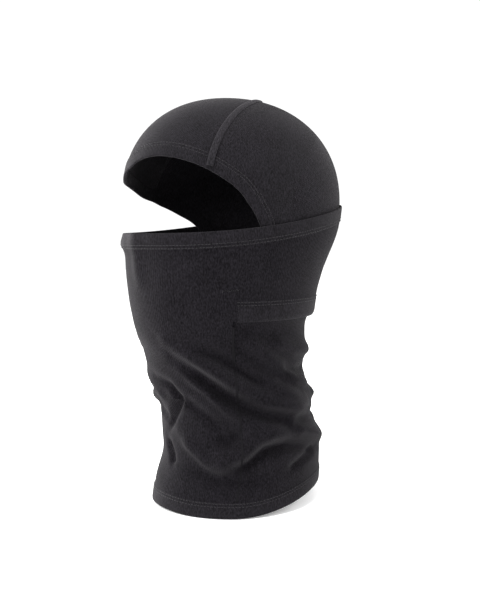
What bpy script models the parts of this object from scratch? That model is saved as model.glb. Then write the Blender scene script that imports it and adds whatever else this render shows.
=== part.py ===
"""Balaclava with a drop-down mask, built from its sewn pieces.

The hood and the neck tube are one body. The mask is a ring of cloth around them,
joined to the tube at the throat, and it slides down from the nose to the chin.
Metres, +Z up, the face towards -Y, standing on its bottom hem at the origin.
"""

import math

import bmesh
import bpy
from mathutils import Matrix, Vector

# ---- Driving dimensions -------------------------------------------------------

HEIGHT = 0.363              # floor to crown
HEAD_HALF_DEPTH = 0.1045    # middle to forehead, over the mask's cloth
HEAD_HALF_WIDTH = 0.0805    # middle to ear, over the mask's cloth
HEAD_BACK = -0.0015         # middle of the hood, behind the origin
EQUATOR = 0.270             # height where the hood is widest
DOME_POWER = 2.2            # 2 is an ellipsoid, more is squarer

# Neck tube, as the cloth of the mask would lie: height, how much less deep and less
# wide than half the head, and how far its middle lies behind the head's.
TUBE_SECTIONS = tuple(
    (height, HEAD_HALF_DEPTH - shallower, HEAD_HALF_WIDTH - narrower, HEAD_BACK + back)
    for height, shallower, narrower, back in (
        (0.000, 0.0260, 0.0085, 0.0040),
        (0.047, 0.0285, 0.0105, 0.0080),
        (0.089, 0.0310, 0.0115, 0.0020),
        (0.132, 0.0265, 0.0100, -0.0055),
        (0.173, 0.0195, 0.0060, -0.0085),
        (0.208, 0.0120, 0.0025, -0.0055),
        (0.248, 0.0030, 0.0005, 0.0),
        (EQUATOR, 0.0, 0.0, 0.0),
    )
)

CLOTH = 0.0012              # one layer of knit
HEM_EXTRA = 0.0006          # how far doubled cloth stands proud on each side
STITCH_WIDTH = 0.0030       # a row of cover stitching
STITCH_HEIGHT = 0.0005
TOUCH = 0.0003              # between pieces that lie on each other

FACE_HEM = 0.0130           # width of the hem around the face
MASK_HEM = 0.0140
FLAP_HEM = 0.0140
BOTTOM_HEM = 0.0140
HEM_CLEARANCE = 0.0020      # between the face hem and the seam at the hood's foot

MASK_TOP_FRONT = 0.241      # top edge of the mask at the nose
MASK_TOP_RISE = 0.022       # how much higher that edge is at the nape
MASK_TOP_POWER = 1.5        # how late it climbs
MASK_FOOT_FRONT = 0.134     # lower edge of the mask at the throat
MASK_FOOT_BACK = 0.176      # where the flap's hem starts at the nape
SIDE_SEAM_DEG = 80.0        # from the nose round to the neck's side seam
SLIT_DEG = 82.0             # from the nose round to the end of the slit, about
THROAT_LAP = 0.008          # mask over neck panel
HOOD_FOOT = 0.200           # where hood and neck are sewn together at the nape

SEAM_TOP_BACK = 0.030       # crown seam behind the middle, at the top
SEAM_BEND = 18.3            # per metre: the seam runs forward with the width squared
SEAM_WIDTH = 0.0050
SIDE_SEAM_WIDTH = 0.0040

# Edge of the face opening in side view: distance behind the middle, height.
FACE_EDGE = (
    (-0.130, 0.2950),
    (-0.098, 0.2960),
    (-0.084, 0.2950),
    (-0.064, 0.2900),
    (-0.045, 0.2810),
    (-0.028, 0.2680),
    (-0.015, 0.2520),
    (-0.009, 0.2360),
    (-0.008, 0.2180),
    (-0.009, 0.1780),
)
FACE_ROLL_DEG = 8.0         # the edge sits higher on the left than on the right
FACE_ROLL_HEIGHT = 0.273

BAR_TACK = (0.012, 0.0020)  # length round the neck, height
LABEL = (0.030, 0.018, 0.0004)

AROUND = 48                 # segments round the head and neck
SEGMENT = math.tau / AROUND
ROW = 0.0120                # between the rows of points up the neck
DOME_ROWS = 9
MASK_ROWS = 8
SLIT_TURN = SEGMENT * math.ceil(math.radians(SLIT_DEG) / SEGMENT)

MASK_OUT = 0.0
MASK_IN = -CLOTH
UNDER_MASK = MASK_IN - TOUCH                # top of the stitching on the hood
LINER_OUT = UNDER_MASK - STITCH_HEIGHT - TOUCH
LINER_IN = LINER_OUT - CLOTH

COLORS = {
    "jersey": (0.020, 0.019, 0.020, 1.0),
    "hem": (0.022, 0.021, 0.022, 1.0),
    "thread": (0.028, 0.027, 0.028, 1.0),
    "label": (0.120, 0.120, 0.120, 1.0),
}


# ---- Scene and materials ------------------------------------------------------

def clear_scene():
    for obj in list(bpy.data.objects):
        bpy.data.objects.remove(obj, do_unlink=True)


def material(name, finish):
    mat = bpy.data.materials.new(name)
    mat.use_nodes = True
    shader = mat.node_tree.nodes["Principled BSDF"]
    shader.inputs["Base Color"].default_value = COLORS[finish]
    shader.inputs["Roughness"].default_value = 0.9
    shader.inputs["Metallic"].default_value = 0.0
    return mat


def add_object(name, bm, finish, parent=None):
    """Turn a bmesh into a named object with its own material."""
    mesh = bpy.data.meshes.new(name)
    bm.to_mesh(mesh)
    bm.free()
    mesh.shade_smooth()
    mesh.set_sharp_from_angle(angle=math.radians(40.0))
    obj = bpy.data.objects.new(name, mesh)
    obj.data.materials.append(material(name, finish))
    bpy.context.scene.collection.objects.link(obj)
    if parent is not None:
        obj.parent = parent
    return obj


# ---- The two surfaces that all the cloth lies on ------------------------------

def smooth_between(rows, height):
    """Values at a height from rows that start with their height, with no corners."""
    heights = [row[0] for row in rows]
    slopes = []
    for i in range(len(rows)):
        before, after = rows[max(i - 1, 0)], rows[min(i + 1, len(rows) - 1)]
        rise = after[0] - before[0]
        slopes.append([(a - b) / rise for a, b in zip(after[1:], before[1:])])
    height = min(max(height, heights[0]), heights[-1])
    i = max(k for k in range(len(rows) - 1) if heights[k] <= height)
    span = heights[i + 1] - heights[i]
    t = (height - heights[i]) / span
    start, end = 2 * t**3 - 3 * t**2 + 1, -2 * t**3 + 3 * t**2
    leave, arrive = t**3 - 2 * t**2 + t, t**3 - t**2
    return [
        start * p + leave * span * m + end * q + arrive * span * n
        for p, q, m, n in zip(rows[i][1:], rows[i + 1][1:], slopes[i], slopes[i + 1])
    ]


def tube_point(turn, height, offset):
    """A point of the neck tube. turn is 0 at the face and grows to the left ear."""
    depth, width, back = smooth_between(TUBE_SECTIONS, height)
    return Vector((
        (width + offset) * math.sin(turn),
        back - (depth + offset) * math.cos(turn),
        height,
    ))


def turn_at(behind, height):
    """How far round from the face a point of the tube lies that far behind the origin."""
    depth, _, back = smooth_between(TUBE_SECTIONS, height)
    return math.acos((back - behind) / depth)


def dome_point(turn, climb, offset):
    """A point of the hood above its widest line. climb is 0 there and 90 deg on top."""
    out = max(math.cos(climb), 0.0) ** (2 / DOME_POWER)
    up = max(math.sin(climb), 0.0) ** (2 / DOME_POWER)
    rise = HEIGHT - EQUATOR - LINER_OUT
    return Vector((
        (HEAD_HALF_WIDTH + offset) * out * math.sin(turn),
        HEAD_BACK - (HEAD_HALF_DEPTH + offset) * out * math.cos(turn),
        EQUATOR + (rise + offset) * up,
    ))


def mask_top(turn):
    """Height of the mask's top edge round the head."""
    back = (1 - math.cos(turn)) / 2
    return MASK_TOP_FRONT + MASK_TOP_RISE * back**MASK_TOP_POWER


def mask_foot(turn):
    """Height of the mask's lower edge: the throat in front, the flap at the nape."""
    turn = abs((turn + math.pi) % math.tau - math.pi)
    climb = min(max((turn - SLIT_TURN) / SEGMENT + 1.0, 0.0), 1.0)
    return MASK_FOOT_FRONT + (MASK_FOOT_BACK - MASK_FOOT_FRONT) * climb


# ---- Closed bands of cloth on the tube ----------------------------------------

def level_rows(low, high):
    """Heights of a strip's rows between two level edges, the same on every strip."""
    inner_rows = [ROW * k for k in range(1, round(EQUATOR / ROW))]
    rows = [low] + [z for z in inner_rows if low < z < high] + [high]
    return lambda turn: rows


def sloping_rows(low, high, count):
    """Heights of a strip's rows between two edges that rise and fall with the turn."""
    def rows(turn):
        foot, rise = low(turn), high(turn) - low(turn)
        return [foot + rise * k / count for k in range(count + 1)]
    return rows


def band(name, rows, inner, outer, finish, parent, start=None, end=None):
    """A strip of cloth round the tube, closed or from start to end.

    rows gives the heights of its rows at a turn. inner and outer are the offsets
    of its two faces from the mask's outer surface.
    """
    closed = start is None
    if closed:
        turns = [math.tau * i / AROUND for i in range(AROUND)]
    else:
        count = max(2, round(AROUND * (end - start) / math.tau))
        turns = [start + (end - start) * i / count for i in range(count + 1)]

    bm = bmesh.new()
    columns = []
    for turn in turns:
        heights = rows(turn)
        loop = [tube_point(turn, z, outer) for z in heights]
        loop += [tube_point(turn, z, inner) for z in reversed(heights)]
        columns.append([bm.verts.new(p) for p in loop])

    pairs = list(zip(columns, columns[1:]))
    size = len(columns[0])
    if closed:
        pairs.append((columns[-1], columns[0]))
    else:
        for end_loop in (columns[0], columns[-1]):
            for k in range(size // 2 - 1):
                back = size - 1 - k
                bm.faces.new((end_loop[k], end_loop[k + 1], end_loop[back - 1],
                              end_loop[back]))
    for near, far in pairs:
        for k in range(size):
            n = (k + 1) % size
            bm.faces.new((near[k], far[k], far[n], near[n]))
    bmesh.ops.triangulate(bm, faces=bm.faces[:])
    bmesh.ops.recalc_face_normals(bm, faces=bm.faces[:])
    return add_object(name, bm, finish, parent)


# ---- The hood's shell and the tools that cut it -------------------------------

def hood_rings(inner_or_outer):
    """Sections of the hood from its foot to its crown, one list of points each."""
    turns = [math.tau * i / AROUND for i in range(AROUND)]
    rings = []
    foot_rows = 4
    for k in range(foot_rows):
        z = HOOD_FOOT + (EQUATOR - HOOD_FOOT) * k / foot_rows
        rings.append([tube_point(t, z, inner_or_outer) for t in turns])
    for k in range(DOME_ROWS):
        climb = math.radians(90.0) * k / DOME_ROWS
        rings.append([dome_point(t, climb, inner_or_outer) for t in turns])
    return rings


def hood_shell(inner, outer):
    """The whole hood as a closed shell, open only at its foot."""
    bm = bmesh.new()
    skins = []
    for offset in (outer, inner):
        rings = [[bm.verts.new(p) for p in ring] for ring in hood_rings(offset)]
        top = bm.verts.new(dome_point(0.0, math.radians(90.0), offset))
        for low, high in zip(rings, rings[1:]):
            for i in range(AROUND):
                n = (i + 1) % AROUND
                bm.faces.new((low[i], low[n], high[n], high[i]))
        for i in range(AROUND):
            bm.faces.new((rings[-1][i], rings[-1][(i + 1) % AROUND], top))
        skins.append(rings[0])
    for i in range(AROUND):
        n = (i + 1) % AROUND
        bm.faces.new((skins[0][i], skins[0][n], skins[1][n], skins[1][i]))
    bmesh.ops.recalc_face_normals(bm, faces=bm.faces[:])
    return bm


def cutter(name, outline, along, reach, turn=None):
    """A prism on an outline, for cutting only: it is hidden and isn't a piece."""
    bm = bmesh.new()
    face = bm.faces.new([bm.verts.new(p) for p in outline])
    move = along.normalized() * reach
    bmesh.ops.translate(bm, verts=bm.verts[:], vec=-move)
    grown = bmesh.ops.extrude_face_region(bm, geom=[face])
    verts = [v for v in grown["geom"] if isinstance(v, bmesh.types.BMVert)]
    bmesh.ops.translate(bm, verts=verts, vec=move * 2)
    if turn is not None:
        bmesh.ops.transform(bm, matrix=turn, verts=bm.verts[:])
    bmesh.ops.recalc_face_normals(bm, faces=bm.faces[:])
    mesh = bpy.data.meshes.new(name)
    bm.to_mesh(mesh)
    bm.free()
    obj = bpy.data.objects.new(name, mesh)
    obj.hide_render = True
    obj.display_type = "WIRE"
    bpy.context.scene.collection.objects.link(obj)
    return obj


def face_edge_curve(grow):
    """The face opening's edge in side view, moved outwards over the cloth by grow."""
    points = [Vector(p) for p in FACE_EDGE]
    fine = []
    for i in range(len(points) - 1):
        a, b = points[max(i - 1, 0)], points[i]
        c, d = points[i + 1], points[min(i + 2, len(points) - 1)]
        for step in range(2):
            t = step / 2
            fine.append(0.5 * (
                2 * b + (c - a) * t + (2 * a - 5 * b + 4 * c - d) * t**2
                + (3 * b - a - 3 * c + d) * t**3
            ))
    fine.append(points[-1])
    moved = []
    for i, p in enumerate(fine):
        along = (fine[min(i + 1, len(fine) - 1)] - fine[max(i - 1, 0)]).normalized()
        moved.append(p + Vector((-along.y, along.x)) * grow)
    return moved


def face_cutter(name, grow):
    """Takes away all that lies in front of the face opening's edge."""
    edge = face_edge_curve(grow)
    far_front, below = -0.200, HOOD_FOOT - 0.050
    outline = [(far_front, edge[0].y)] + [tuple(p) for p in edge]
    outline += [(edge[-1].x, below), (far_front, below)]
    pivot = Vector((0.0, 0.0, FACE_ROLL_HEIGHT))
    roll = Matrix.Rotation(math.radians(-FACE_ROLL_DEG), 4, "Y")
    turn = Matrix.Translation(pivot) @ roll @ Matrix.Translation(-pivot)
    points = [Vector((0.0, y, z)) for y, z in outline]
    return cutter(name, points, Vector((1.0, 0.0, 0.0)), 0.150, turn)


def seam_cutter(name, shift, keep_front):
    """Takes away the hood behind the crown seam, or in front of it."""
    steps = 14
    reach = HEAD_HALF_WIDTH + 0.010
    far = 0.250
    line = []
    for i in range(steps + 1):
        x = -reach + 2 * reach * i / steps
        slope = -2 * SEAM_BEND * x
        normal = Vector((-slope, 1.0)).normalized() * shift
        line.append((x + normal.x, SEAM_TOP_BACK - SEAM_BEND * x * x + normal.y))
    side = far if keep_front else -far
    outline = line + [(reach * 2, line[-1][1]), (reach * 2, side)]
    outline += [(-reach * 2, side), (-reach * 2, line[0][1])]
    points = [Vector((x, y, EQUATOR)) for x, y in outline]
    return cutter(name, points, Vector((0.0, 0.0, 1.0)), 0.200)


def cut_hood(name, inner, outer, cuts, finish, parent, solver="EXACT"):
    """A piece of the hood: the shell less everything that its cutters cover."""
    obj = add_object(name, hood_shell(inner, outer), finish, parent)
    for operation, tool in cuts:
        step = obj.modifiers.new(tool.name, "BOOLEAN")
        step.operation = operation
        step.solver = solver
        step.object = tool
    return obj


# ---- Pieces of the hood and the neck ------------------------------------------

def build_hood(root):
    half_gap = TOUCH / 2
    opening = face_cutter("cut_face_opening", 0.0)
    hem_line = face_cutter("cut_face_hem_line", FACE_HEM)
    panel_line = face_cutter("cut_face_panel_line", FACE_HEM + TOUCH)
    row_line = face_cutter("cut_face_stitching_line", FACE_HEM + STITCH_WIDTH)
    past_row = face_cutter("cut_past_face_stitching", FACE_HEM + STITCH_WIDTH + TOUCH)
    behind = seam_cutter("cut_behind_seam", -half_gap, True)
    ahead = seam_cutter("cut_ahead_of_seam", half_gap, False)
    seam_back = seam_cutter("cut_behind_seam_stitching", SEAM_WIDTH / 2, True)
    seam_front = seam_cutter("cut_ahead_of_seam_stitching", -SEAM_WIDTH / 2, False)

    cut_hood("hood_front_panel", LINER_IN, LINER_OUT,
             [("DIFFERENCE", behind), ("DIFFERENCE", panel_line)], "jersey", root)
    cut_hood("hood_back_panel", LINER_IN, LINER_OUT,
             [("DIFFERENCE", ahead), ("DIFFERENCE", panel_line)], "jersey", root)
    cut_hood("face_hem", LINER_IN - HEM_EXTRA, LINER_OUT,
             [("INTERSECT", hem_line), ("DIFFERENCE", opening)], "hem", root)

    over = LINER_OUT + TOUCH
    cut_hood("face_hem_stitching", over, over + STITCH_HEIGHT,
             [("INTERSECT", row_line), ("DIFFERENCE", hem_line)], "thread", root)
    cut_hood("crown_seam_stitching", over, over + STITCH_HEIGHT,
             [("DIFFERENCE", seam_back), ("DIFFERENCE", seam_front),
              ("DIFFERENCE", past_row)], "thread", root, "MANIFOLD")


def build_neck(root):
    seam = math.radians(SIDE_SEAM_DEG)
    radius = (TUBE_SECTIONS[0][1] + TUBE_SECTIONS[0][2]) / 2
    half_gap = TOUCH / 2 / radius
    low = BOTTOM_HEM + TOUCH
    throat = MASK_FOOT_FRONT + THROAT_LAP
    band("neck_front_panel", level_rows(low, throat), LINER_IN, LINER_OUT, "jersey",
         root, -seam + half_gap, seam - half_gap)
    band("neck_back_panel", level_rows(low, HOOD_FOOT - TOUCH), LINER_IN, LINER_OUT,
         "jersey", root, seam + half_gap, math.tau - seam - half_gap)
    band("bottom_hem", level_rows(0.0, BOTTOM_HEM), LINER_IN - HEM_EXTRA,
         LINER_OUT + HEM_EXTRA, "hem", root)

    over = LINER_OUT + TOUCH
    past_row = low + STITCH_WIDTH
    band("bottom_hem_stitching", level_rows(low, past_row), over,
         over + STITCH_HEIGHT, "thread", root)

    half_seam = SIDE_SEAM_WIDTH / 2 / radius
    for side, middle in (("left", seam), ("right", math.tau - seam)):
        band("side_seam_" + side, level_rows(past_row + TOUCH, throat), over,
             over + STITCH_HEIGHT, "thread", root, middle - half_seam,
             middle + half_seam)

    half_row = STITCH_WIDTH / 2
    face_cloth = FACE_HEM + STITCH_WIDTH + HEM_CLEARANCE
    start = turn_at(FACE_EDGE[-1][0] + face_cloth, HOOD_FOOT)
    band("hood_foot_seam", level_rows(HOOD_FOOT - half_row, HOOD_FOOT + half_row),
         over, over + STITCH_HEIGHT, "thread", root, start, math.tau - start)


def build_label(root):
    """A plain loop label, sewn flat under the hood's foot seam at the nape."""
    width, height, thickness = LABEL
    top = HOOD_FOOT - TOUCH
    half = width / 2 / TUBE_SECTIONS[4][1]
    under = LINER_IN - TOUCH
    band("care_label", level_rows(top - height, top), under - thickness, under,
         "label", root, math.pi - half, math.pi + half)


# ---- The mask, which slides down as one ring ----------------------------------

def build_mask(carrier):
    def hem_low(turn):
        return mask_top(turn) - MASK_HEM

    def panel_top(turn):
        return hem_low(turn) - TOUCH

    band("mask_panel", sloping_rows(mask_foot, panel_top, MASK_ROWS), MASK_IN,
         MASK_OUT, "jersey", carrier)
    band("mask_top_hem", sloping_rows(hem_low, mask_top, 1), MASK_IN,
         MASK_OUT + HEM_EXTRA, "hem", carrier)
    over = MASK_OUT + TOUCH

    def row_low(turn):
        return hem_low(turn) - TOUCH - STITCH_WIDTH

    def row_high(turn):
        return hem_low(turn) - TOUCH

    band("mask_hem_stitching", sloping_rows(row_low, row_high, 1), over,
         over + STITCH_HEIGHT, "thread", carrier)

    slit = SLIT_TURN + TOUCH / TUBE_SECTIONS[4][1]
    top = MASK_FOOT_BACK - TOUCH
    band("nape_flap_hem", level_rows(top - FLAP_HEM, top), MASK_IN,
         MASK_OUT + HEM_EXTRA, "hem", carrier, slit, math.tau - slit)
    row = MASK_FOOT_BACK + TOUCH
    band("nape_flap_stitching", level_rows(row, row + STITCH_WIDTH), over,
         over + STITCH_HEIGHT, "thread", carrier, slit, math.tau - slit)

    length, height = BAR_TACK
    half = length / 2 / TUBE_SECTIONS[4][1]
    low = row + STITCH_WIDTH + TOUCH
    for side, middle in (("left", slit), ("right", math.tau - slit)):
        band("bar_tack_" + side, level_rows(low, low + height), over,
             over + STITCH_HEIGHT, "thread", carrier, middle - half, middle + half)


def add_empty(name, place):
    empty = bpy.data.objects.new(name, None)
    empty.location = place
    bpy.context.scene.collection.objects.link(empty)
    return empty


def build():
    clear_scene()
    root = add_empty("hood_and_neck", (0.0, 0.0, 0.0))
    carrier = add_empty("mask_carrier", (0.0, 0.0, 0.0))
    carrier.parent = root
    build_hood(root)
    build_neck(root)
    build_label(root)
    build_mask(carrier)


build()
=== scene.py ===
"""Looks of a black knitted balaclava with a drop-down mask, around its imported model.

Metres, +Z up, the face towards -Y. Places round the head are given by a turn in
degrees, 0 at the nose and 90 at the left ear, and by a height above the bottom hem.
"""

import math

import bpy
import numpy as np
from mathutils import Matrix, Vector


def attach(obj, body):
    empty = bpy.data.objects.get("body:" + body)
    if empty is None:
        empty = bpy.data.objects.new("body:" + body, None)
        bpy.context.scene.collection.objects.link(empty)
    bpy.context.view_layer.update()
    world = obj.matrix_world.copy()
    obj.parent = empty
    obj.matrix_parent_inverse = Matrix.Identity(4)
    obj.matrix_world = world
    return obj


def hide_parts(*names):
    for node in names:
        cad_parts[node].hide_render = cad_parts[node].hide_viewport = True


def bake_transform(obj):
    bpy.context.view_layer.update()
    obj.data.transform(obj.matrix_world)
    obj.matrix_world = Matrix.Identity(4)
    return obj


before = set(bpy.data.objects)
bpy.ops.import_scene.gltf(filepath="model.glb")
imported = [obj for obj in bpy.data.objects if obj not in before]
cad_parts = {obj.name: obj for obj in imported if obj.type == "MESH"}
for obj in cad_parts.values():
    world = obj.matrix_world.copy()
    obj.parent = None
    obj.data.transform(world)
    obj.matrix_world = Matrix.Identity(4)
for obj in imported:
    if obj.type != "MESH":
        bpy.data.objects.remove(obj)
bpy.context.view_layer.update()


# ==== Camera, floor and light ==================================================
# A camera a little above the mask's hem, on the wearer's left, three quarters from
# the front. A white floor and wide soft lamps, as on a studio table.

VIEW_TURN = math.radians(65.0)
VIEW_DISTANCE = 0.750
VIEW_HEIGHT = 0.248
AIM_HEIGHT = 0.182
AIM_ASIDE = 0.0047          # the camera looks this far to the right of the middle
LENS = 32.75                # millimetres, on a sensor of this height
SENSOR = 24.0

away = Vector((math.sin(VIEW_TURN), -math.cos(VIEW_TURN), 0.0))
aside = Vector((math.cos(VIEW_TURN), math.sin(VIEW_TURN), 0.0))

camera_data = bpy.data.cameras.new("camera")
camera_data.sensor_fit = "VERTICAL"
camera_data.sensor_height = SENSOR
camera_data.lens = LENS
camera_data.clip_start = 0.01
camera = bpy.data.objects.new("camera", camera_data)
bpy.context.scene.collection.objects.link(camera)
camera.location = away * VIEW_DISTANCE + Vector((0.0, 0.0, VIEW_HEIGHT))
aim = aside * AIM_ASIDE + Vector((0.0, 0.0, AIM_HEIGHT))
camera.rotation_euler = (aim - camera.location).to_track_quat("-Z", "Y").to_euler()
bpy.context.scene.camera = camera


def shade(code):
    """An sRGB hex colour as the linear colour that a shader takes."""
    parts = [int(code[i:i + 2], 16) / 255 for i in (1, 3, 5)]
    return tuple(
        p / 12.92 if p <= 0.04045 else ((p + 0.055) / 1.055) ** 2.4 for p in parts
    ) + (1.0,)


def add_node(tree, kind, settings=None, links=None):
    """Add one node: settings are its properties or input values, links its inputs."""
    node = tree.nodes.new(kind)
    for key, value in (settings or {}).items():
        if key in node.inputs:
            node.inputs[key].default_value = value
        else:
            setattr(node, key, value)
    for key, output in (links or {}).items():
        tree.links.new(output, node.inputs[key])
    return node


def new_material(name):
    """An empty node material and its output node."""
    made = bpy.data.materials.new(name)
    made.use_nodes = True
    made.node_tree.nodes.clear()
    return made, made.node_tree, made.node_tree.nodes.new("ShaderNodeOutputMaterial")


# Matt white acrylic: an even pale floor that takes only a faint, soft shadow. It is
# lit a little from below, as on a light table.
board, tree, out = new_material("white lit acrylic")
paint = add_node(tree, "ShaderNodeBsdfPrincipled", {
    "Base Color": shade("#FAFAFA"), "Roughness": 0.9,
    "Emission Color": shade("#FFFFFF"), "Emission Strength": 0.2})
tree.links.new(paint.outputs["BSDF"], out.inputs["Surface"])

FLOOR_SIZE = 8.0
FLOOR_GAP = 0.0005          # below the bottom hem
bpy.ops.object.select_all(action="DESELECT")
bpy.ops.mesh.primitive_plane_add(size=FLOOR_SIZE, location=(0.0, 0.0, -FLOOR_GAP))
floor = bpy.context.object
floor.name = "floor"
floor.data.materials.append(board)

world = bpy.data.worlds.new("studio")
bpy.context.scene.world = world
world.use_nodes = True
sky = world.node_tree.nodes["Background"]
sky.inputs["Color"].default_value = shade("#FFFFFF")
sky.inputs["Strength"].default_value = 1.08

LIT_HEIGHT = 0.2            # what the lamps look at


def add_lamp(name, turn_deg, height, distance, size, power):
    """A square soft box at a turn round the object, looking at its middle."""
    lamp_data = bpy.data.lights.new(name, "AREA")
    lamp_data.size = size
    lamp_data.energy = power
    lamp = bpy.data.objects.new(name, lamp_data)
    bpy.context.scene.collection.objects.link(lamp)
    turn = math.radians(turn_deg)
    lamp.location = (distance * math.sin(turn), -distance * math.cos(turn), height)
    lit = Vector((0.0, 0.0, LIT_HEIGHT))
    lamp.rotation_euler = (lit - lamp.location).to_track_quat("-Z", "Y").to_euler()


add_lamp("soft_box_behind_right", 155.0, 0.8, 1.3, 0.9, 8.0)
add_lamp("soft_box_front_left", -52.0, 0.5, 1.4, 0.9, 30.0)
add_lamp("soft_box_above", 30.0, 1.6, 0.45, 0.6, 26.0)
add_lamp("soft_box_front", 12.0, 0.35, 1.2, 0.4, 7.0)

bpy.context.scene.view_settings.view_transform = "Standard"


# ==== Knitted cloth of the hood ================================================
# Fine black jersey, worn thin and soft. It stands as if on a head: a brow panel in
# front of the crown seam, and a back panel that runs down to the neck.

CLOTH = 0.0012
EQUATOR = 0.270             # where the hood is widest
CROWN = 0.363
HEAD = (0.1045, 0.0805, -0.0015)    # half depth, half width, middle behind origin
HOOD_LAYER = -0.0023        # the hood's cloth under the mask's
HOOD_FOOT = 0.200
SIDE_SCALE = 0.150          # height below the widest line for one step of reach
DOME_SHARP = 1 / 1.1        # 1 is an ellipse over the crown, and less is fuller
CROWN_LEAN = 0.0030         # how far the crown leans towards the brow

# The tube below the widest line: height, half depth, half width, middle.
TUBE = np.array((
    (0.000, 0.0785, 0.0720, 0.0025),
    (0.047, 0.0760, 0.0700, 0.0065),
    (0.089, 0.0735, 0.0690, 0.0005),
    (0.132, 0.0780, 0.0705, -0.0070),
    (0.173, 0.0834, 0.0745, -0.0116),
    (0.208, 0.0904, 0.0780, -0.0091),
    (0.248, 0.1010, 0.0800, -0.0020),
    (EQUATOR,) + HEAD,
))


def glide(values, slopes, i, t, span=1.0):
    """A cubic curve through values with slopes, at a share t of the span after value i."""
    return ((2 * t**3 - 3 * t**2 + 1) * values[i] + (3 * t**2 - 2 * t**3) * values[i + 1]
            + ((t**3 - 2 * t**2 + t) * slopes[i] + (t**3 - t**2) * slopes[i + 1]) * span)


def tube(height):
    """Half depth, half width and middle of the tube at heights, with no corners."""
    slopes = np.gradient(TUBE[:, 1:], TUBE[:, 0], axis=0)
    height = np.clip(height, 0.0, EQUATOR)
    i = np.clip(np.searchsorted(TUBE[:, 0], height, side="right") - 1, 0, len(TUBE) - 2)
    span = (TUBE[i + 1, 0] - TUBE[i, 0])[..., None]
    t = (height - TUBE[i, 0])[..., None] / span
    return np.moveaxis(glide(TUBE[:, 1:], slopes, i, t, span), -1, 0)


def head_point(place, out):
    """Points of the head: place is (aside, back) from the crown, 1 at the widest line."""
    reach = np.maximum(np.hypot(place[..., 0], place[..., 1]), 1e-6)
    side, back = place[..., 0] / reach, place[..., 1] / reach
    climb = np.radians(90.0 * (1.0 - np.minimum(reach, 1.0)))
    wide = np.cos(climb) ** DOME_SHARP
    low = EQUATOR - np.maximum(reach - 1.0, 0.0) * SIDE_SCALE
    depth, width, middle = tube(low)
    rise = CROWN - EQUATOR - HOOD_LAYER
    return np.stack((
        (width + out) * wide * side,
        middle + (depth + out) * wide * back - CROWN_LEAN * np.sin(climb) ** 2,
        low + (rise + out) * np.sin(climb) ** DOME_SHARP,
    ), -1)


def head_place(turn_deg, height):
    """The place on the head that lies at a turn and a height."""
    turn_deg, height = np.asarray(turn_deg, float), np.asarray(height, float)
    up = np.clip((height - EQUATOR) / (CROWN - EQUATOR), 0.0, 1.0)
    reach = np.where(
        height > EQUATOR,
        1.0 - np.degrees(np.arcsin(up ** (1 / DOME_SHARP))) / 90.0,
        1.0 + (EQUATOR - height) / SIDE_SCALE)
    turn = np.radians(turn_deg)
    return np.stack((reach * np.sin(turn), -reach * np.cos(turn)), -1)


def even(points, count):
    """The line through points, smoothed, as count points at even steps."""
    points = np.asarray(points, float)
    s = np.linspace(0, len(points) - 1, 2000)
    i = np.clip(s.astype(int), 0, len(points) - 2)
    line = glide(points, np.gradient(points, axis=0), i, (s - i)[:, None])
    run = np.concatenate(([0.0], np.cumsum(np.linalg.norm(np.diff(line, axis=0), axis=1))))
    at = np.linspace(0, run[-1], count)
    return np.stack([np.interp(at, run, line[:, c]) for c in range(line.shape[1])], -1)


SHARP_FROM = math.radians(50.0)


def lay_cloth(name, points, thickness, finish, closed=False, gone=None):
    """A primitive grid laid through points[row][column], made thick on its inner side.

    Seen from outside, rows run up and columns run towards the left ear. The UV map
    is in metres of cloth, taken from a row near the lower edge. What is gone is cut
    away, and a closed piece has the points merged that meet."""
    rows, columns = points.shape[:2]
    bpy.ops.object.select_all(action="DESELECT")
    bpy.ops.mesh.primitive_grid_add(
        x_subdivisions=columns - 1, y_subdivisions=rows - 1, size=1.0)
    obj = bpy.context.object
    obj.name = name
    mesh = obj.data
    mesh.vertices.foreach_set("co", points.reshape(-1))
    across = np.linalg.norm(np.diff(points[len(points) // 12], axis=0), axis=1)
    up = np.linalg.norm(np.diff(points, axis=0), axis=2).mean(1)
    u = np.concatenate(([0.0], np.cumsum(across)))
    v = np.concatenate(([0.0], np.cumsum(up)))
    uv = np.stack(np.meshgrid(u, v), -1).reshape(-1, 2)
    corner = np.zeros(len(mesh.loops), int)
    mesh.loops.foreach_get("vertex_index", corner)
    mesh.uv_layers[0].data.foreach_set("uv", uv[corner].reshape(-1))
    mesh.update()
    if gone is not None:
        bpy.ops.object.mode_set(mode="EDIT")
        bpy.ops.mesh.select_all(action="DESELECT")
        bpy.ops.mesh.select_mode(type="VERT")
        bpy.ops.object.mode_set(mode="OBJECT")
        mesh.vertices.foreach_set("select", gone.reshape(-1))
        bpy.ops.object.mode_set(mode="EDIT")
        bpy.ops.mesh.delete(type="VERT")
        bpy.ops.object.mode_set(mode="OBJECT")
    if closed:
        bpy.ops.object.mode_set(mode="EDIT")
        bpy.ops.mesh.select_all(action="SELECT")
        bpy.ops.mesh.remove_doubles(threshold=1e-6)
        bpy.ops.object.mode_set(mode="OBJECT")
    bpy.ops.object.shade_smooth()
    if thickness:
        solid = obj.modifiers.new("thickness", "SOLIDIFY")
        solid.thickness = thickness
        solid.offset = -1.0
        bpy.ops.object.modifier_apply(modifier=solid.name)
    mesh.set_sharp_from_angle(angle=SHARP_FROM)
    mesh.materials.append(finish)
    return obj


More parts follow.
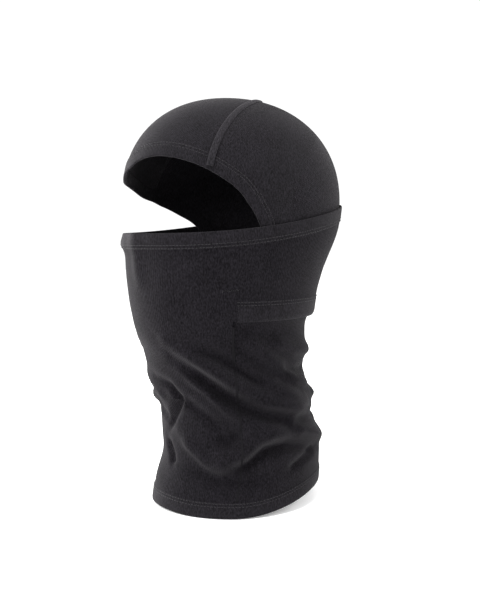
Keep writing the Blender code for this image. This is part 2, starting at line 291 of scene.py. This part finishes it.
def knit(name, colour, streak, wale, course, depth, sheen):
    """Jersey from its UV map, in a colour with paler streaks.

    Wale and course are the stitch's width and height, drawn coarser than the real
    half millimetre so that they show at arm's length, and depth is its relief."""
    made, tree, out = new_material(name)
    place = add_node(tree, "ShaderNodeUVMap")
    solid = add_node(tree, "ShaderNodeTexCoord")
    split = add_node(tree, "ShaderNodeSeparateXYZ", links={"Vector": place.outputs["UV"]})

    def maths(operation, a, b=None):
        """One sum of two values, each a socket or a number."""
        node = add_node(tree, "ShaderNodeMath", {"operation": operation})
        for slot_number, value in enumerate((a, b)):
            if value is None:
                continue
            if isinstance(value, (int, float)):
                node.inputs[slot_number].default_value = value
            else:
                tree.links.new(value, node.inputs[slot_number])
        return node.outputs["Value"]

    # Each wale is a round cord; its loops lean to and fro along it.
    wale_phase = maths("MULTIPLY", split.outputs["X"], math.pi / wale)
    cord = maths("ABSOLUTE", maths("SINE", wale_phase))
    lean = maths("MULTIPLY", maths("SINE", maths("MULTIPLY", wale_phase, 2.0)), 0.8)
    loops = maths("SINE", maths(
        "ADD", maths("MULTIPLY", split.outputs["Y"], math.tau / course), lean))
    stitch = maths("ADD", maths("MULTIPLY", cord, 0.6), maths("MULTIPLY", loops, 0.2))

    # Flecks of fibre 1 mm across and about 2.2 mm long, and worn patches of 22 mm.
    fibres = add_node(tree, "ShaderNodeMapping", {"Scale": (1000.0, 1000.0, 450.0)},
                      {"Vector": solid.outputs["Object"]})
    heather = add_node(tree, "ShaderNodeTexNoise", {"Scale": 1.0, "Detail": 2.0},
                       {"Vector": fibres.outputs["Vector"]})
    wear = add_node(tree, "ShaderNodeTexNoise", {"Scale": 45.0, "Detail": 3.0},
                    {"Vector": solid.outputs["Object"]})
    mixed = maths("ADD", maths("MULTIPLY", heather.outputs["Fac"], 0.85),
                  maths("MULTIPLY", wear.outputs["Fac"], 0.15))
    tone = add_node(tree, "ShaderNodeValToRGB", links={"Fac": mixed})
    tone.color_ramp.elements[0].position = 0.35
    tone.color_ramp.elements[0].color = shade(colour)
    tone.color_ramp.elements[1].position = 0.70
    tone.color_ramp.elements[1].color = shade(streak)

    bump = add_node(tree, "ShaderNodeBump", {"Strength": 0.6, "Distance": depth},
                    {"Height": stitch})
    cloth = add_node(tree, "ShaderNodeBsdfPrincipled", {
        "Roughness": 0.85, "Specular IOR Level": 0.05, "Sheen Weight": sheen,
        "Sheen Roughness": 0.45, "Sheen Tint": shade("#EDE9EC")},
        {"Base Color": tone.outputs["Color"], "Normal": bump.outputs["Normal"]})
    tree.links.new(cloth.outputs["BSDF"], out.inputs["Surface"])
    return made


# Brushed cotton jersey with some elastane: matt, flecked, and paler where it is seen
# at a slant, from the haze of fibres that stands off it.
hood_knit = knit("hood jersey", "#0A090B", "#201E22", 0.0015, 0.0012, 0.0004, 0.08)

# The edge of the face opening: turn and height, from the left ear over the brow to
# the right ear, where it hangs lower.
FACE_EDGE = (
    (89.0, HOOD_FOOT), (87.0, 0.222), (85.5, 0.242), (82.0, 0.257), (75.0, 0.2755),
    (62.0, 0.2925), (45.0, 0.304), (28.0, 0.308), (12.0, 0.305), (0.0, 0.299),
    (-20.0, 0.288), (-45.0, 0.279), (-60.0, 0.272), (-75.0, 0.262), (-86.0, 0.252),
    (-93.0, 0.239), (-95.0, 0.221), (-95.0, HOOD_FOOT),
)
EDGE_POINTS = 241
SEAM_TOP = 0.036            # the crown seam behind the middle, at the top
SEAM_BEND = 19.6            # it runs forward with the width squared
SEAM_REACH = 0.0672         # how far to each side it runs

face_edge = even(head_place(*np.transpose(FACE_EDGE)), EDGE_POINTS)

# The crown seam, its ends then moved to the nearest points of the face edge.
x = np.linspace(SEAM_REACH, -SEAM_REACH, 41)
y = SEAM_TOP - SEAM_BEND * x**2
depth, width, middle = HEAD
side, back = x / width, (y - middle) / depth
flat = np.minimum(np.hypot(side, back), 1.0)
climb = np.degrees(np.arccos(flat ** (1 / DOME_SHARP)))
seam = np.stack((side, back), -1) * ((1 - climb / 90) / flat)[:, None]
first, last = (
    int(np.argmin(np.linalg.norm(face_edge - end, axis=1))) for end in (seam[0], seam[-1]))
lean = np.linspace(0, 1, len(seam))[:, None]
seam += (1 - lean) * (face_edge[first] - seam[0]) + lean * (face_edge[last] - seam[-1])
crown_seam = even(seam, last - first + 1)

# Brow panel: rows run from the face edge up to the crown seam.
brow_edge = face_edge[first:last + 1]
rise = np.linspace(0.0, 1.0, 41)[:, None, None]
brow = head_point((brow_edge + rise * (crown_seam - brow_edge))[:, ::-1], HOOD_LAYER)
hood_front = lay_cloth("hood_brow_cloth", brow, CLOTH, hood_knit)
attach(hood_front, "hood")
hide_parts("hood_front_panel")

# Back panel: rows run in from its whole border to a point at the back of the head.
MIDDLE_BACK = np.array((0.0, 0.62))     # aside and back from the crown
FOOT_POINTS = 120
foot_turns = np.linspace(FACE_EDGE[-1][0], FACE_EDGE[0][0] - 360.0, FOOT_POINTS + 1)[1:]
foot = head_place(foot_turns, np.full(FOOT_POINTS, HOOD_FOOT))
border = np.concatenate((face_edge[:first], crown_seam, face_edge[last + 1:], foot))
rise = (np.linspace(0.0, 1.0, 81) ** 0.9)[:, None, None]
back_panel = head_point((border + rise * (MIDDLE_BACK - border))[:, ::-1], HOOD_LAYER)
hood_back = lay_cloth(
    "hood_back_cloth", back_panel, CLOTH, hood_knit, closed=True)
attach(hood_back, "hood")
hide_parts("hood_back_panel")


# ==== Hem round the face =======================================================
# The hood's front edge turned under twice and cover-stitched: a soft flat roll that
# stands a little proud of the cloth on both sides, with two rows of stitching.

FACE_HEM = 0.0130
HEM_HALF = 0.0011           # half the thickness of doubled cloth
HEM_LIP = 0.0006            # how far the roll stands past the cloth's edge
STITCH_PITCH = 0.0030
STITCH_SIZE = (0.0024, 0.0006, 0.0005)
STITCH_GAP = 0.0026         # between the two rows of a cover stitch
STITCH_INSET = 0.0012       # from the hem's inner edge to the nearer row
SEWN_SHORT = 4              # points left without stitches at each end of a seam


def roll(width):
    """A turned hem's section, from its lower edge up outside and down inside:
    how far across, and how far off its middle layer."""
    phi = np.linspace(0.0, math.tau, 33)
    across = (0.5 - 0.5 * np.sign(np.cos(phi)) * np.abs(np.cos(phi)) ** 0.5) * width
    off = np.sign(np.sin(phi)) * np.abs(np.sin(phi)) ** 0.5 * HEM_HALF
    return across[:, None], off[:, None]


def lay_hem(name, points, finish, ring):
    """A hem through the points of its sections, closed up at both ends if it has any."""
    if not ring:
        first, last = (points[:, k].mean(0) + 0 * points[:, 0] for k in (0, -1))
        points = np.concatenate((first[:, None], points, last[:, None]), 1)
    return lay_cloth(name, points, None, finish, closed=True)


def sew(name, lines, finish):
    """Rows of stitches, each a small flattened bead, set along lines of points."""
    rows = []
    for line in lines:
        data = bpy.data.curves.new("thread_path", "CURVE")
        data.dimensions = "3D"
        spline = data.splines.new("POLY")
        spline.points.add(len(line) - 1)
        spline.points.foreach_set(
            "co", np.hstack((line, np.ones((len(line), 1)))).reshape(-1))
        path = bpy.data.objects.new("thread_path", data)
        bpy.context.scene.collection.objects.link(path)
        bpy.ops.object.select_all(action="DESELECT")
        bpy.ops.mesh.primitive_uv_sphere_add(segments=8, ring_count=6, radius=0.5)
        row = bpy.context.object
        row.scale = STITCH_SIZE
        bpy.ops.object.transform_apply(location=False, rotation=False, scale=True)
        bpy.ops.object.shade_smooth()
        repeat = row.modifiers.new("repeat", "ARRAY")
        repeat.use_relative_offset = False
        repeat.use_constant_offset = True
        repeat.constant_offset_displace = (STITCH_PITCH, 0.0, 0.0)
        repeat.fit_type = "FIT_CURVE"
        repeat.curve = path
        bend = row.modifiers.new("bend", "CURVE")
        bend.object = path
        bpy.ops.object.modifier_apply(modifier=repeat.name)
        bpy.ops.object.modifier_apply(modifier=bend.name)
        bpy.data.objects.remove(path, do_unlink=True)
        rows.append(row)
    bpy.ops.object.select_all(action="DESELECT")
    for row in rows:
        row.select_set(True)
    bpy.context.view_layer.objects.active = rows[0]
    if len(rows) > 1:
        bpy.ops.object.join()
    sewn = bpy.context.object
    sewn.name = name
    sewn.data.materials.append(finish)
    return sewn


# The hood's jersey again, doubled in a hem.
hem_knit = knit("hem jersey", "#0A090B", "#201E22", 0.0015, 0.0012, 0.0004, 0.08)

# Spun polyester thread: a shade paler and smoother than the cloth, so the stitches
# just show.
thread, tree, out = new_material("polyester thread")
yarn = add_node(tree, "ShaderNodeBsdfPrincipled", {
    "Base Color": shade("#181619"), "Roughness": 0.6, "Specular IOR Level": 0.15,
    "Sheen Weight": 0.1})
tree.links.new(yarn.outputs["BSDF"], out.inputs["Surface"])


def steps_off(line, towards):
    """How far to move each place of a line for one metre square to it, towards a side."""
    tiny = 1e-4
    aside_by, back_by = np.array((tiny, 0.0)), np.array((0.0, tiny))
    a = (head_point(line + aside_by, 0.0) - head_point(line - aside_by, 0.0)) / (2 * tiny)
    b = (head_point(line + back_by, 0.0) - head_point(line - back_by, 0.0)) / (2 * tiny)
    run = np.gradient(head_point(line, 0.0), axis=0)
    square = np.cross(np.cross(a, b), run)
    square /= np.linalg.norm(square, axis=1, keepdims=True)
    aa, ab, bb = (np.sum(p * q, 1) for p, q in ((a, a), (a, b), (b, b)))
    da, db = np.sum(a * square, 1), np.sum(b * square, 1)
    size = aa * bb - ab * ab
    step = np.stack(((bb * da - ab * db) / size, (aa * db - ab * da) / size), -1)
    return step * np.sign(np.sum(step * towards, 1))[:, None]


edge_step = steps_off(face_edge, MIDDLE_BACK - face_edge)


def from_edge(distance, out):
    """Points of the hood that lie a distance in from its face edge."""
    return head_point(face_edge + np.asarray(distance)[..., None] * edge_step, out)


across, off = roll(FACE_HEM + HEM_LIP)
hem_points = from_edge(across - HEM_LIP, HOOD_LAYER - CLOTH / 2 + off)[:, ::-1]
face_hem = lay_hem("face_hem_roll", hem_points, hem_knit, ring=False)
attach(face_hem, "hood")
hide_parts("face_hem")

on_hood_hem = HOOD_LAYER - CLOTH / 2 + HEM_HALF
face_stitches = sew("face_hem_stitches", [
    from_edge(np.full((1, EDGE_POINTS), FACE_HEM - inset), on_hood_hem)[
        0, SEWN_SHORT:-SEWN_SHORT]
    for inset in (STITCH_INSET, STITCH_INSET + STITCH_GAP)], thread)
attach(face_stitches, "hood")
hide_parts("face_hem_stitching")


# ==== Crown seam ===============================================================
# Brow and back panel are joined by a flatlock seam over the crown: a soft raised
# band, sewn down along both its edges.

SEAM_WIDTH = 0.0046
SEAM_HEIGHT = 0.0007
SEAM_SUNK = 0.0002          # how far its edges lie in the cloth
SEAM_ROW = 0.32             # rows of stitches, from its middle, in widths
OVER_HEM = (0.87, 0.91)     # where it climbs onto the hem, from its middle to an end

# The same jersey, painted a little paler: a painted highlight for the light that the raised
# band catches.
seam_knit_painted_lit = knit("flatlock seam", "#111012", "#29272B", 0.0012, 0.0012, 0.0004, 0.10)

seam_line = crown_seam[1:-1]
seam_step = steps_off(seam_line, np.array((0.0, 1.0)))


def from_seam(distance, out):
    """Points of the hood that lie a distance behind the crown seam."""
    return head_point(seam_line + np.asarray(distance)[..., None] * seam_step, out)


# At each end the seam shows as a ridge over the hem that is turned up across it.
along = np.abs(np.linspace(-1.0, 1.0, len(seam_line)))
over_hem = HEM_HALF * np.interp(along, OVER_HEM, (0.0, 1.0))
across = np.linspace(-0.5, 0.5, 15)[:, None]
swell = SEAM_HEIGHT * np.maximum(1.0 - (2 * across) ** 4, 0.0) ** 0.5
band = from_seam(across * SEAM_WIDTH, HOOD_LAYER + swell - SEAM_SUNK + over_hem)
crown_band = lay_cloth("crown_seam_band", band[::-1, ::-1], 0.0008, seam_knit_painted_lit)
crown_stitches = sew("crown_seam_stitches", [
    from_seam(np.full((1, len(seam_line)), shift), HOOD_LAYER + SEAM_HEIGHT * 0.8)[
        0, SEWN_SHORT:-SEWN_SHORT]
    for shift in (-SEAM_ROW * SEAM_WIDTH, SEAM_ROW * SEAM_WIDTH)], thread)
for piece in (crown_band, crown_stitches):
    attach(piece, "hood")
    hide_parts("crown_seam_stitching")


# ==== Mask and front of the neck ===============================================
# One length of soft jersey: a ring round the head whose front runs on down the
# neck to the bottom hem. Slack, so it hangs in slanting folds below the chin.

MASK_TOP = 0.2435           # top edge at the nose
MASK_TOP_RISE = 0.027       # and how much higher it is at the nape
MASK_HEM = 0.0140
BOTTOM_HEM = 0.0140
BOTTOM_LIFT = (0.0015, 0.0145)      # of the bottom edge, at the front and at the nape
FLAP_FOOT = 0.171           # lower edge of the ring at the nape
SIDE_SEAM = 74.0            # turn of the neck's side seams under the slit
SEAM_DRIFT = 10.0           # and how much further forward they end at the hem
GIRTH_RADIUS = 0.075        # turns the folds' turns into metres

# Folds: how far they rise, how wide they are to each side, and their line as turns
# and heights. Ridges are drawn from front to back.
FOLDS = (
    # left side, seen from the camera
    (0.0085, 0.0085, ((28, .153), (50, .136), (63, .123), (75, .111), (92, .101),
                      (115, .092), (136, .087))),
    (0.0060, 0.0056, ((68, .141), (80, .129), (92, .118), (106, .108), (128, .099))),
    (0.0066, 0.0058, ((76, .161), (88, .147), (102, .132), (120, .116), (156, .100))),
    (0.0060, 0.0060, ((96, .152), (122, .142), (160, .136))),
    (0.0042, 0.0055, ((32, .129), (50, .111), (60, .096), (72, .082))),
    (0.0072, 0.0086, ((112, .071), (92, .073), (78, .067), (66, .055), (54, .049),
                      (42, .052))),
    (0.0056, 0.0060, ((104, .081), (116, .072), (152, .056))),
    (0.0038, 0.0065, ((20, .069), (34, .055), (48, .043), (62, .039))),
    (-0.0058, 0.0056, ((38, .150), (60, .141), (73, .130), (86, .119), (100, .112))),
    (-0.0070, 0.0062, ((30, .137), (48, .122), (60, .109), (73, .096), (88, .087),
                       (110, .077), (150, .076))),
    (-0.0050, 0.0050, ((104, .128), (126, .122), (160, .119))),
    (-0.0036, 0.0050, ((28, .103), (42, .091), (58, .074))),
    (-0.0054, 0.0042, ((2, .117), (18, .112), (26, .100), (19, .089), (12, .079),
                       (5, .069))),
    (-0.0040, 0.0038, ((0, .061), (9, .048), (12, .039))),
    (-0.0056, 0.0046, ((50, .068), (60, .066), (68, .074))),
    (-0.0062, 0.0046, ((58, .036), (72, .046), (84, .057), (100, .059), (142, .046))),
    (-0.0044, 0.0036, ((138, .049), (116, .043), (100, .037))),
    (-0.0034, 0.0070, ((20, .039), (52, .032), (72, .032), (88, .036))),
    # right side
    (0.0078, 0.0078, ((-22, .149), (-45, .133), (-70, .119), (-100, .109), (-132, .105))),
    (0.0056, 0.0055, ((-60, .157), (-84, .143), (-108, .130), (-150, .117))),
    (0.0062, 0.0060, ((-14, .103), (-38, .087), (-66, .081), (-96, .087), (-124, .081))),
    (0.0050, 0.0055, ((-40, .055), (-66, .063), (-98, .059), (-130, .052))),
    (-0.0056, 0.0052, ((-26, .133), (-50, .117), (-78, .103), (-112, .095))),
    (-0.0050, 0.0042, ((-18, .083), (-44, .071), (-76, .069), (-110, .071))),
    (-0.0042, 0.0040, ((-50, .039), (-84, .043), (-120, .040))),
    # front and nape
    (0.0034, 0.0060, ((-24, .121), (-6, .109), (10, .097))),
    (-0.0034, 0.0050, ((-20, .095), (-4, .085), (8, .081))),
    (0.0048, 0.0060, ((148, .094), (176, .098), (208, .090))),
    (-0.0048, 0.0046, ((150, .078), (180, .082), (214, .074))),
    (0.0044, 0.0060, ((146, .054), (178, .060), (206, .053))),
)


def smooth(value, start, end):
    """0 before start, 1 after end, and an even curve between them."""
    t = np.clip((value - start) / (end - start), 0.0, 1.0)
    return t * t * (3 - 2 * t)


def bell(value, middle, half):
    """1 at the middle, fading to both sides."""
    return np.exp(-((value - middle) / half) ** 2)


def wrap(turn_deg):
    """Turns as -180 to 180, with 0 at the nose."""
    return (turn_deg + 180.0) % 360.0 - 180.0


def side_turn(height):
    """Turn of the side seams, which run forward as they go down."""
    return SIDE_SEAM - SEAM_DRIFT * np.clip(1.0 - height / FLAP_FOOT, 0.0, 1.0)


CALM_SUNK = 0.0040          # how much further in the neck lies under the flap
CALM_SHARE = 0.32           # and how much flatter its folds are
SWAY = 0.0007               # slow waves between the folds


def fold(turn_deg, height):
    """How far the folds lift the cloth at turns and heights."""
    lift = np.zeros(np.broadcast(turn_deg, height).shape)
    for rise, half, line in FOLDS:
        nearest = np.full(lift.shape, 1e9)
        side = np.zeros(lift.shape)
        run = np.zeros(lift.shape)
        steps = len(line) - 1
        for k in range(steps):
            (t0, h0), (t1, h1) = line[k], line[k + 1]
            du = math.radians(t1 - t0) * GIRTH_RADIUS
            dh = h1 - h0
            u = np.radians(wrap(turn_deg - t0)) * GIRTH_RADIUS
            h = height - h0
            share = np.clip((u * du + h * dh) / (du * du + dh * dh), 0.0, 1.0)
            far = np.hypot(u - share * du, h - share * dh)
            closer = far < nearest
            nearest = np.where(closer, far, nearest)
            side = np.where(closer, np.sign(du * h - dh * u) * np.sign(du), side)
            run = np.where(closer, (k + share) / steps, run)
        # Cloth hangs over: the lower side of a fold is the steeper one.
        reach = half * np.where(side > 0, 1.25, 0.80)
        ends = 0.25 + 0.75 * smooth(np.minimum(run, 1.0 - run), 0.0, 0.22)
        lift += rise * ends * bell(nearest, 0.0, reach)
    # Under the flap the neck lies back, so that the mask can slide over it.
    turned = np.abs(wrap(turn_deg))
    calm = (smooth(turned, 62.0, 80.0) * smooth(height, 0.094, 0.107)
            * (1.0 - smooth(height, 0.166, 0.178)))
    lift = lift - CALM_SUNK * calm
    lift = np.where(lift > 0, lift * (1.0 - CALM_SHARE * calm), lift)
    sway = SWAY * np.sin(np.radians(turn_deg) * 5 + height * 70) * np.sin(height * 110)
    # The mask above and the bottom hem are smooth.
    return (lift + sway) * (1.0 - smooth(height, 0.158, 0.178)) * smooth(height, 0.008, 0.026)


NOSE_HEM_STAND = 0.0030     # how far the slack front stands off at the mask's hem
CHIN_STAND = 0.0010         # and below it
NOSE_CREASE = 0.0024        # an upright crease beside the nose
BOTTOM_STAND = 0.0045       # how far the bottom hem flares in front
FLAP_STAND = 0.0014         # how far the flap's edge stands off the neck
MASK_DEPTH = 0.0021         # what lies deeper than this is the neck's, not the flap's


def skin(turn_deg, height, out):
    """Points of the tube with its folds; out is measured from the mask's cloth."""
    turn_deg, height = np.broadcast_arrays(np.asarray(turn_deg, float), height)
    turn = np.radians(turn_deg)
    depth, width, middle = tube(height)
    front = wrap(turn_deg)
    stand = bell(front, -12.0, 26.0) * (
        NOSE_HEM_STAND * bell(height, 0.2340, 0.0065)
        + CHIN_STAND * smooth(height, 0.142, 0.185) * (1.0 - smooth(height, 0.200, 0.232)))
    stand += NOSE_CREASE * bell(front, 12.0, 6.0) * smooth(height, 0.190, 0.215)
    stand += BOTTOM_STAND * bell(front, -5.0, 34.0) * (1.0 - smooth(height, 0.015, 0.055))
    flap = smooth(np.abs(front), 76.0, 96.0) * (np.asarray(out) > -MASK_DEPTH)
    stand += FLAP_STAND * flap * smooth(height, 0.164, 0.170) * (
        1.0 - smooth(height, 0.170, 0.198))
    off = np.asarray(out) + fold(turn_deg, height) + stand
    return np.stack((
        (width + off) * np.sin(turn),
        middle - (depth + off) * np.cos(turn),
        height,
    ), -1)


def mask_top(turn_deg):
    """Height of the mask's top edge."""
    return MASK_TOP + MASK_TOP_RISE * (0.5 - 0.5 * np.cos(np.radians(turn_deg))) ** 2


def hem_foot(turn_deg):
    """Height of the bottom edge: it stands on its sides and lifts in front and behind."""
    turned = np.abs(wrap(np.asarray(turn_deg, float)))
    front_lift, nape_lift = BOTTOM_LIFT
    return (front_lift * (1.0 - smooth(turned, 0.0, 40.0))
            + nape_lift * smooth(turned, 64.0, 148.0))


def front_layer(height):
    """How far in the front cloth lies: as the mask's above, as the neck's below."""
    return HOOD_LAYER * (1.0 - smooth(height, 0.128, 0.166))


# A softer, looser and blacker jersey than the hood's: matt, with a wider wale.
mask_knit = knit("mask jersey", "#050406", "#1C1A1E", 0.0018, 0.0014, 0.0005, 0.06)

IN_BOTTOM_HEM = 0.6         # where single cloth begins in the bottom hem, as a share
IN_MASK_HEM = 0.4           # and where it ends in the mask's, from the top

turns = np.linspace(-180.0, 180.0, 241)[None, :]
low = np.linspace(0.0, 1.0, 81)[:-1, None]
high = np.linspace(0.0, 1.0, 37)[:, None]
low_start = hem_foot(turns) + BOTTOM_HEM * IN_BOTTOM_HEM
high_end = mask_top(turns) - MASK_HEM * IN_MASK_HEM
heights = np.concatenate((
    low_start + low * (FLAP_FOOT - low_start), FLAP_FOOT + high * (high_end - FLAP_FOOT)))
turned = np.abs(turns)
cut_away = (turned > SIDE_SEAM + 0.5) & (heights < FLAP_FOOT - 1e-6)
# The rows' points move forward with the side seams, less and less away from them.
beside = smooth(turned, 24.0, SIDE_SEAM) * (1.0 - smooth(turned, SIDE_SEAM, 124.0))
led_turns = turns - np.sign(turns) * beside * (SIDE_SEAM - side_turn(heights))
mask_cloth = lay_cloth(
    "mask_and_front_cloth", skin(led_turns, heights, front_layer(heights)), CLOTH,
    mask_knit, closed=True, gone=cut_away)
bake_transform(mask_cloth)
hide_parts("mask_panel", "neck_front_panel")


# ==== Hem, flap hem, stitches and bar tacks of the mask ========================
# The ring's top edge and the free edge of its back part are turned under and sewn.
# A bar tack stops each end of the slit from tearing.

FLAP_HEM = 0.0180
FLAP_LIP = 0.001            # how far the flap's roll hangs below its cloth
SLIT = 76.5                 # turn of the slit's ends
TACK_HEIGHT = 0.1970
TACK_TURN = 9.0             # how far round a tack reaches
TACK_HALF = 0.0007          # half the height of its zigzag
TACK_POINTS = 33
TACK_PROUD = 0.0002

around = np.linspace(-180.0, 180.0, 241)[None, :]
across, off = roll(MASK_HEM)
top_hem = lay_hem("mask_top_hem_roll", skin(
    around, mask_top(around) - MASK_HEM + across, -CLOTH / 2 + off), hem_knit, ring=True)
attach(top_hem, "mask")
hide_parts("mask_top_hem")

on_mask_hem = -CLOTH / 2 + HEM_HALF
top_stitches = sew("mask_hem_stitches", [
    skin(around, mask_top(around) - MASK_HEM + inset, on_mask_hem)[0]
    for inset in (STITCH_INSET, STITCH_INSET + STITCH_GAP)], thread)
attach(top_stitches, "mask")
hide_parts("mask_hem_stitching")

behind = np.linspace(SLIT, 360.0 - SLIT, 131)[None, :]
across, off = roll(FLAP_HEM)
flap_hem = lay_hem("nape_flap_hem_roll", skin(
    behind, FLAP_FOOT - FLAP_LIP + across, -CLOTH / 2 + off), hem_knit, ring=False)
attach(flap_hem, "mask")
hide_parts("nape_flap_hem")

flap_stitches = sew("nape_flap_stitches", [
    skin(behind, FLAP_FOOT - FLAP_LIP + FLAP_HEM - inset, on_mask_hem)[0]
    for inset in (STITCH_INSET, STITCH_INSET + STITCH_GAP)], thread)
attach(flap_stitches, "mask")
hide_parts("nape_flap_stitching")

# A bar tack is a short dense block of zigzag, sewn across the slit's end.
teeth = np.arange(TACK_POINTS)
tack_turns = SLIT - TACK_TURN + TACK_TURN * teeth / (TACK_POINTS - 1)
tack_heights = TACK_HEIGHT + TACK_HALF * (teeth % 2 * 2 - 1)
for side_name, turn_sign in (("left", 1.0), ("right", -1.0)):
    zigzag = skin(turn_sign * tack_turns, tack_heights, TACK_PROUD)
    tack = sew(f"bar_tack_{side_name}_zigzag", [zigzag], thread)
    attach(tack, "mask")
    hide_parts(f"bar_tack_{side_name}")


# ==== Back of the neck =========================================================
# A plain panel from the bottom hem up to the hood's foot, where the two are sewn
# together under the mask. It lies flat under the flap.

SEAM_LAP = 8.0              # how far it runs on under the front cloth
LAP_SUNK = 0.0017           # and how much deeper it lies there
FACE_FOOT = (FACE_EDGE[0][0], -FACE_EDGE[-1][0])    # turns of its top corners
FOOT_SEAM = 0.0030
FOOT_SEAM_PROUD = 0.0005


def back_edge(height, corner):
    """Turn of the panel's side edge, which ends in its top corner at the face edge."""
    return (side_turn(height) - SEAM_LAP * (1.0 - smooth(height, 0.167, 0.180))
            + (corner - SIDE_SEAM) * smooth(height, 0.170, HOOD_FOOT))


rise = np.linspace(0.0, 1.0, 91)[:, None]
share = np.linspace(0.0, 1.0, 145)[None, :]
low_start = (hem_foot(SIDE_SEAM + share * (360.0 - 2 * SIDE_SEAM))
             + BOTTOM_HEM * IN_BOTTOM_HEM)
heights = low_start + rise * (HOOD_FOOT - low_start)
left_turn, right_turn = (back_edge(heights, corner) for corner in FACE_FOOT)
neck_turns = left_turn * (1.0 - share) + (360.0 - right_turn) * share
past_seam = np.abs(wrap(neck_turns)) - side_turn(heights)
lap_layer = HOOD_LAYER - LAP_SUNK * (1.0 - smooth(past_seam, -2.0, 1.0))
neck_back = lay_cloth(
    "neck_back_cloth", skin(neck_turns, heights, lap_layer), CLOTH, mask_knit)
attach(neck_back, "hood")
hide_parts("neck_back_panel")

seam_turns = np.linspace(FACE_FOOT[0] + 0.5, 359.5 - FACE_FOOT[1], 119)[None, :]
across = np.linspace(-0.5, 0.5, 7)[:, None]
foot_band = lay_cloth(
    "hood_foot_seam_band",
    skin(seam_turns, HOOD_FOOT + across * FOOT_SEAM,
         HOOD_LAYER + FOOT_SEAM_PROUD * (1.0 - (2 * across) ** 2)),
    0.0006, thread)
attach(foot_band, "hood")
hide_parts("hood_foot_seam")


# ==== Side seams of the neck ===================================================
# A narrow flat seam joins front and back on each side, from the bottom hem up to
# the slit. It bends with the front cloth.

SIDE_SEAM_WIDTH = 0.0012
SIDE_SEAM_TOP = 0.166
SIDE_SEAM_PROUD = 0.0003    # its edges stand this far off the cloth
SIDE_SEAM_DIP = 0.0005      # and its middle lies this far below them

# Thread pulled down between two edges of jersey: a thin matt line, darker than both.
seam_shade, tree, out = new_material("sunken seam")
matt = add_node(tree, "ShaderNodeBsdfPrincipled", {
    "Base Color": shade("#1A191B"), "Roughness": 0.95, "Specular IOR Level": 0.0})
tree.links.new(matt.outputs["BSDF"], out.inputs["Surface"])

spread = np.linspace(-0.5, 0.5, 9)[None, :]
heights = np.linspace(float(hem_foot(SIDE_SEAM)) + BOTTOM_HEM, SIDE_SEAM_TOP, 91)[:, None]
layer = front_layer(heights) + SIDE_SEAM_PROUD - SIDE_SEAM_DIP * (1.0 - (2 * spread) ** 2)
spread_deg = np.degrees(spread * SIDE_SEAM_WIDTH / GIRTH_RADIUS)
for side_name, turn_sign in (("left", 1.0), ("right", -1.0)):
    side_band = lay_cloth(
        f"side_seam_{side_name}_band",
        skin(turn_sign * side_turn(heights) + spread_deg, heights, layer),
        0.0008, seam_shade)
    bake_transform(side_band)
    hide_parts(f"side_seam_{side_name}")


# ==== Bottom hem ===============================================================
# The neck's lower edge, turned under and cover-stitched all round with two rows. It
# is what the balaclava stands on.

across, off = roll(BOTTOM_HEM)
bottom_hem = lay_hem("bottom_hem_roll", skin(
    around, hem_foot(around) + across, HOOD_LAYER - CLOTH / 2 + off), hem_knit, ring=True)
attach(bottom_hem, "hood")
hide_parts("bottom_hem")

bottom_stitches = sew("bottom_hem_stitches", [
    skin(around, hem_foot(around) + BOTTOM_HEM - inset, on_hood_hem)[0]
    for inset in (STITCH_INSET, STITCH_INSET + STITCH_GAP)], thread)
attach(bottom_stitches, "hood")
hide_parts("bottom_hem_stitching")


# ==== Care label ===============================================================
# A small tab of satin ribbon inside the nape, its upper edge caught in the seam at
# the hood's foot. It is left plain, and hangs a little clear of the cloth.

LABEL_SIZE = (0.026, 0.018)
LABEL_RADIUS = 0.0925       # of the nape, where it hangs
LABEL_GAP = 0.0005          # from the cloth at its upper edge
LABEL_HANG = 0.0016         # and how much further off its lower edge is

# Woven polyester satin: smooth and close, with a soft gleam.
satin, tree, out = new_material("woven satin")
ribbon = add_node(tree, "ShaderNodeBsdfPrincipled", {
    "Base Color": shade("#5A595B"), "Roughness": 0.45, "Sheen Weight": 0.2})
tree.links.new(ribbon.outputs["BSDF"], out.inputs["Surface"])

half_turn = math.degrees(LABEL_SIZE[0] / 2 / LABEL_RADIUS)
label_turns = np.linspace(180.0 - half_turn, 180.0 + half_turn, 15)[None, :]
drop = np.linspace(1.0, 0.0, 9)[:, None]
label = lay_cloth(
    "care_label_tab",
    skin(label_turns, HOOD_FOOT - LABEL_SIZE[1] * drop,
         HOOD_LAYER - CLOTH - LABEL_GAP - LABEL_HANG * drop**2),
    0.0004, satin)
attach(label, "hood")
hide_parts("care_label")
